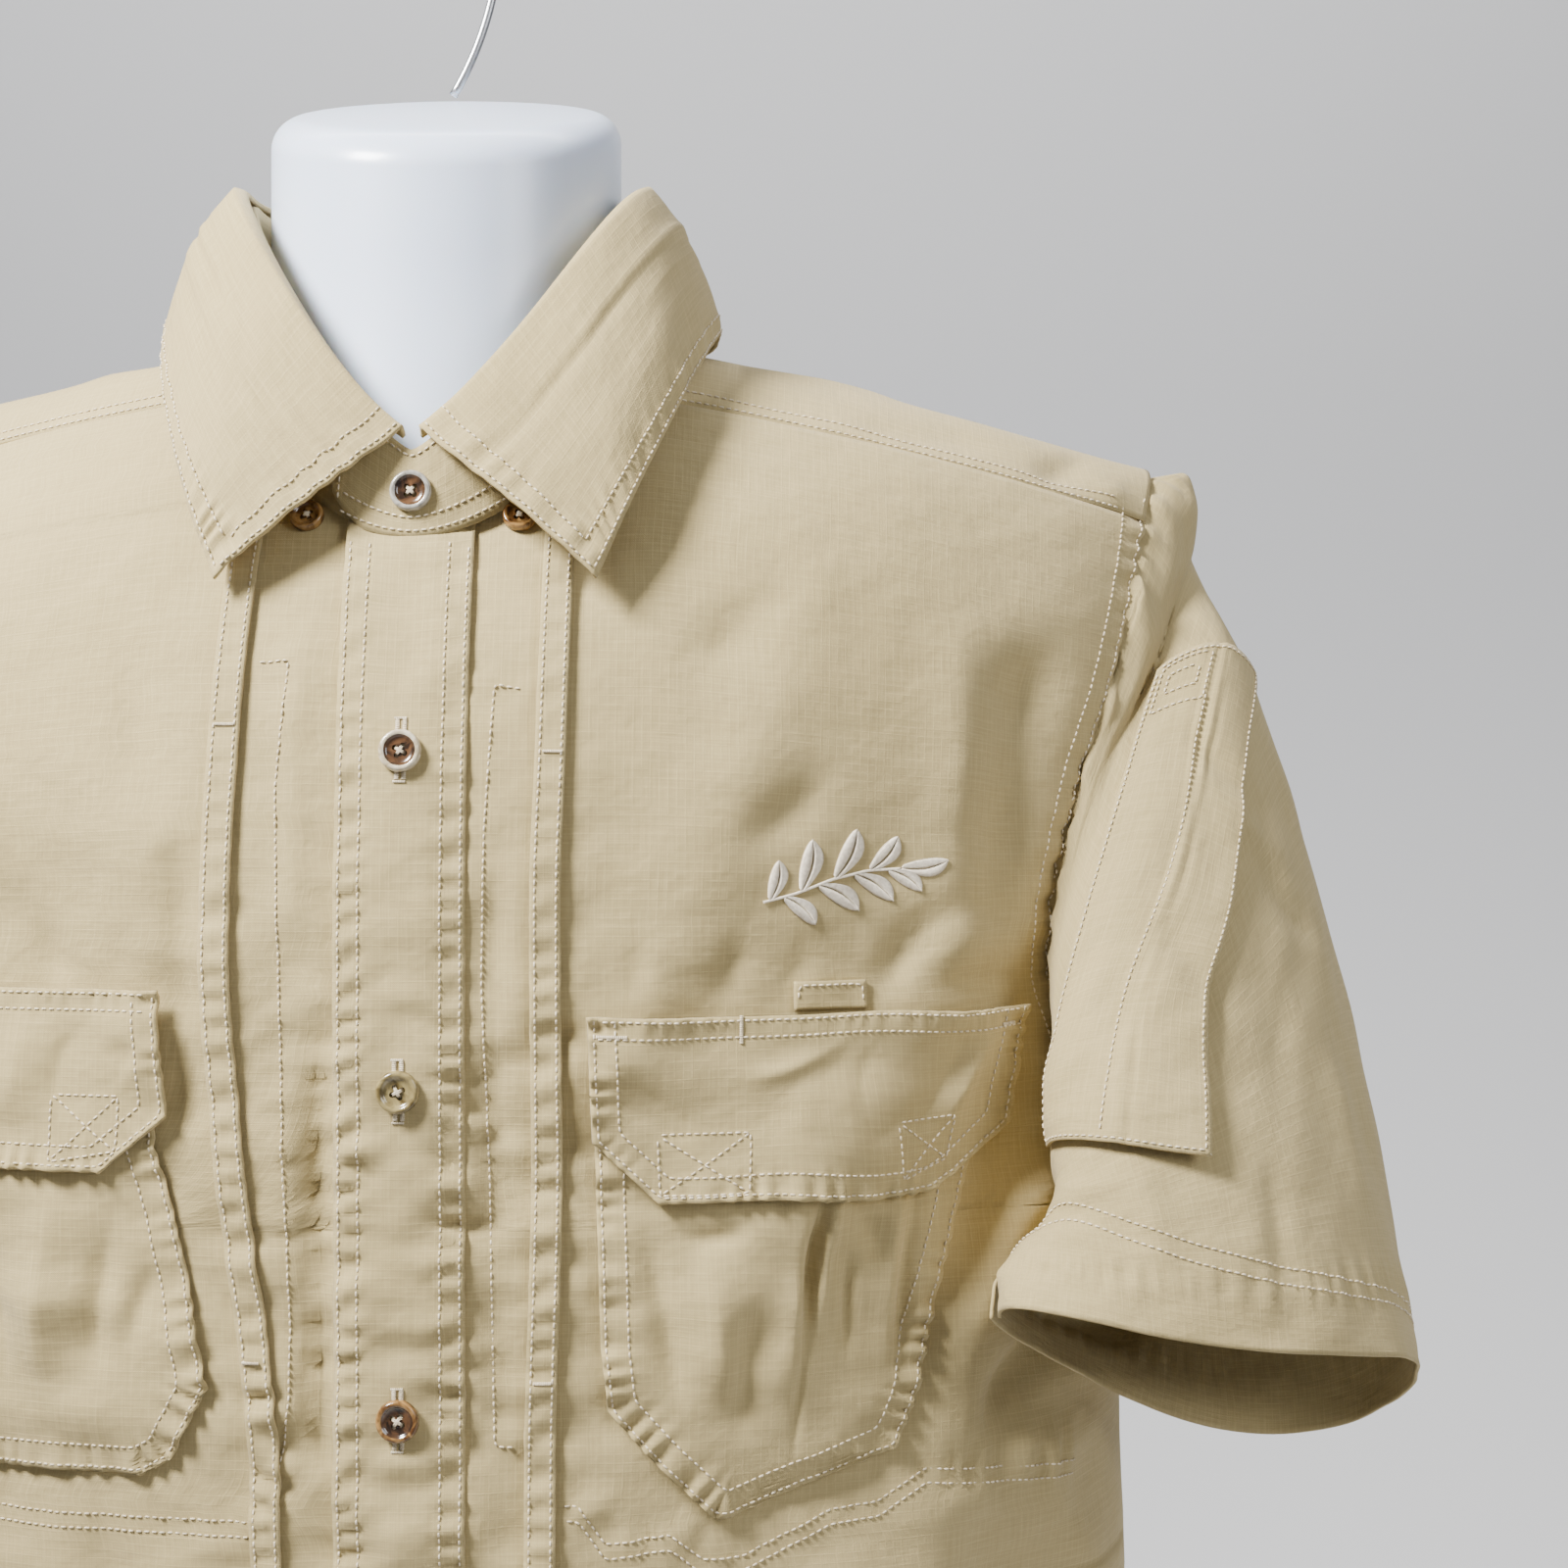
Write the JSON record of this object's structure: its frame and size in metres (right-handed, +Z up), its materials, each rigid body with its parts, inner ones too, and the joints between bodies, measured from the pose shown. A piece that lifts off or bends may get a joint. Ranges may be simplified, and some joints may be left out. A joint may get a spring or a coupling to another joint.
{
  "type": "short-sleeved button-down shirt on a torso form",
  "caption": "Short-sleeved khaki field shirt with flap pockets, stitched pocket edges and a sleeve pen pocket, worn by a white limbless torso form.",
  "frame": {"origin": "on the form's flat base, under the middle of the shirt's shoulder line, at the height of the surface it stands on", "axes": "+Z up, the shirt's front faces -Y, +X towards the wearer's left"},
  "size_m": [0.6196, 0.2686, 0.9754],
  "materials": {
    "khaki_cloth": "matte",
    "white_plastic": "glossy",
    "steel_wire": "satin",
    "brown_button": "glossy"
  },
  "bodies": {
    "root": {"form_torso": "white_plastic", "form_hook": "steel_wire", "back": "khaki_cloth", "front_left": "khaki_cloth", "front_right": "khaki_cloth", "yoke": "khaki_cloth", "placket": "khaki_cloth", "welt_left": "khaki_cloth", "welt_right": "khaki_cloth", "pocket_left": "khaki_cloth", "pocket_right": "khaki_cloth", "flap_left": "khaki_cloth", "flap_right": "khaki_cloth", "tab_left": "khaki_cloth", "sleeve_left": "khaki_cloth", "sleeve_right": "khaki_cloth", "sleeve_pocket": "khaki_cloth", "collar_stand": "khaki_cloth", "collar_leaf": "khaki_cloth", "button_1": "brown_button", "button_2": "brown_button", "button_3": "brown_button", "button_4": "brown_button", "button_5": "brown_button", "button_6": "brown_button", "button_stand": "brown_button", "button_tip_left": "brown_button", "button_tip_right": "brown_button"}
  },
  "joints": []
}
